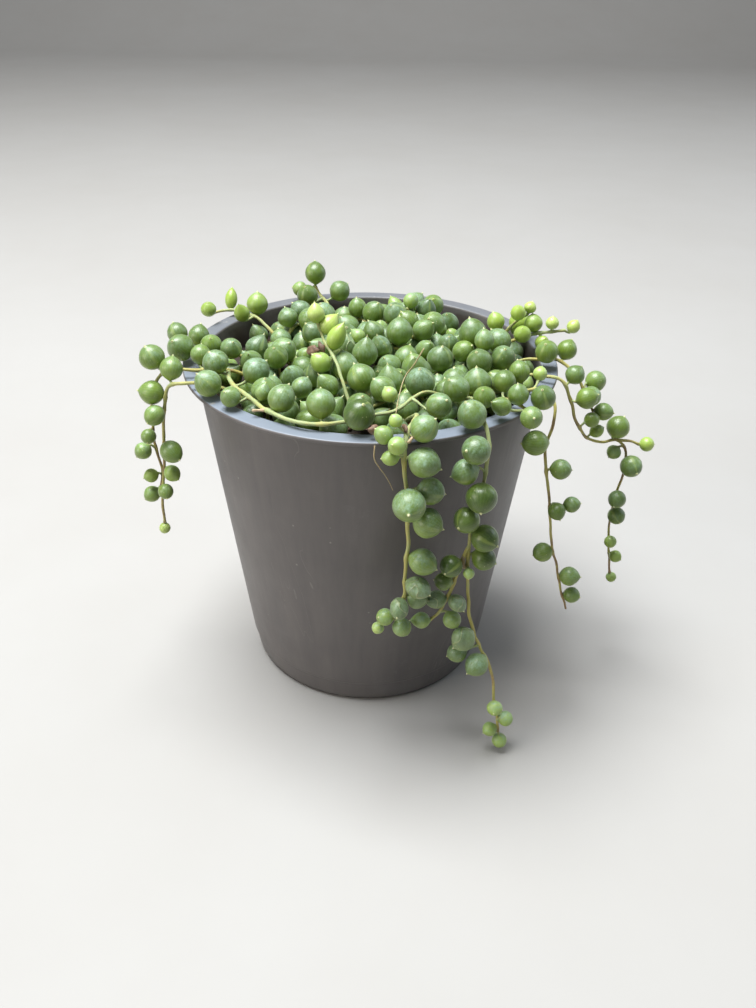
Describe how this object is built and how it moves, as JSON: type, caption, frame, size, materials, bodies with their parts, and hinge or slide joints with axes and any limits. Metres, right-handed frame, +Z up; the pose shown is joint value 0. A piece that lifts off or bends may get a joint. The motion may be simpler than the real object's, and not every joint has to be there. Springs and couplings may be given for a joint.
{
  "type": "potted string of pearls",
  "caption": "Round-leaved trailing succulent rooted in a tapered, flanged plastic pot of dark potting mix, its beaded strands piled in a mat and hanging over the rim.",
  "frame": {"origin": "centre of the pot's flat underside, on the surface that it stands on", "axes": "+Z up along the pot's axis; -Y is the front, where two long strands hang; +X is to the right seen from the front"},
  "size_m": [0.1554, 0.1212, 0.123],
  "materials": {
    "pot_plastic": "taupe-grey moulded polypropylene, satin, lightly scuffed",
    "potting_mix": "dark fibrous potting mix with bark crumbs and grit, dry on top",
    "trailing_growth": "waxy green pearl leaves with a pale bloom, on thin pale green stems",
    "mat_growth": "waxy mid-green pearl leaves with a lengthwise translucent window"
  },
  "bodies": {
    "root": {"pot": "pot_plastic", "potting_mix": "potting_mix", "trailing_strand_left_outer": "trailing_growth", "trailing_strand_left_inner": "trailing_growth", "rim_strand_left": "trailing_growth", "rim_strand_back_left": "trailing_growth", "rim_strand_back": "trailing_growth", "right_shoot": "trailing_growth", "upright_shoot_right": "trailing_growth", "trailing_strand_right": "trailing_growth", "trailing_strand_right_upper": "trailing_growth", "trailing_strand_right_front": "trailing_growth", "rim_strand_right": "trailing_growth", "trailing_strand_front": "trailing_growth", "trailing_strand_front_right": "trailing_growth", "rim_strand_front": "trailing_growth", "young_shoot": "trailing_growth", "mat_strand_01": "mat_growth", "mat_strand_02": "mat_growth", "mat_strand_03": "mat_growth", "mat_strand_04": "mat_growth", "mat_strand_05": "mat_growth", "mat_strand_06": "mat_growth", "mat_strand_07": "mat_growth", "mat_strand_08": "mat_growth", "mat_strand_09": "mat_growth", "mat_strand_10": "mat_growth", "mat_strand_11": "mat_growth", "mat_strand_12": "mat_growth", "mat_strand_13": "mat_growth", "mat_strand_14": "mat_growth", "mat_strand_15": "mat_growth", "mat_strand_16": "mat_growth", "mat_strand_17": "mat_growth", "mat_strand_18": "mat_growth", "mat_strand_19": "mat_growth", "mat_strand_20": "mat_growth", "mat_strand_21": "mat_growth", "mat_strand_22": "mat_growth", "mat_strand_23": "mat_growth", "mat_strand_24": "mat_growth", "mat_strand_25": "mat_growth", "mat_strand_26": "mat_growth", "mat_strand_27": "mat_growth", "mat_strand_28": "mat_growth", "mat_strand_29": "mat_growth", "mat_strand_30": "mat_growth"}
  },
  "joints": []
}
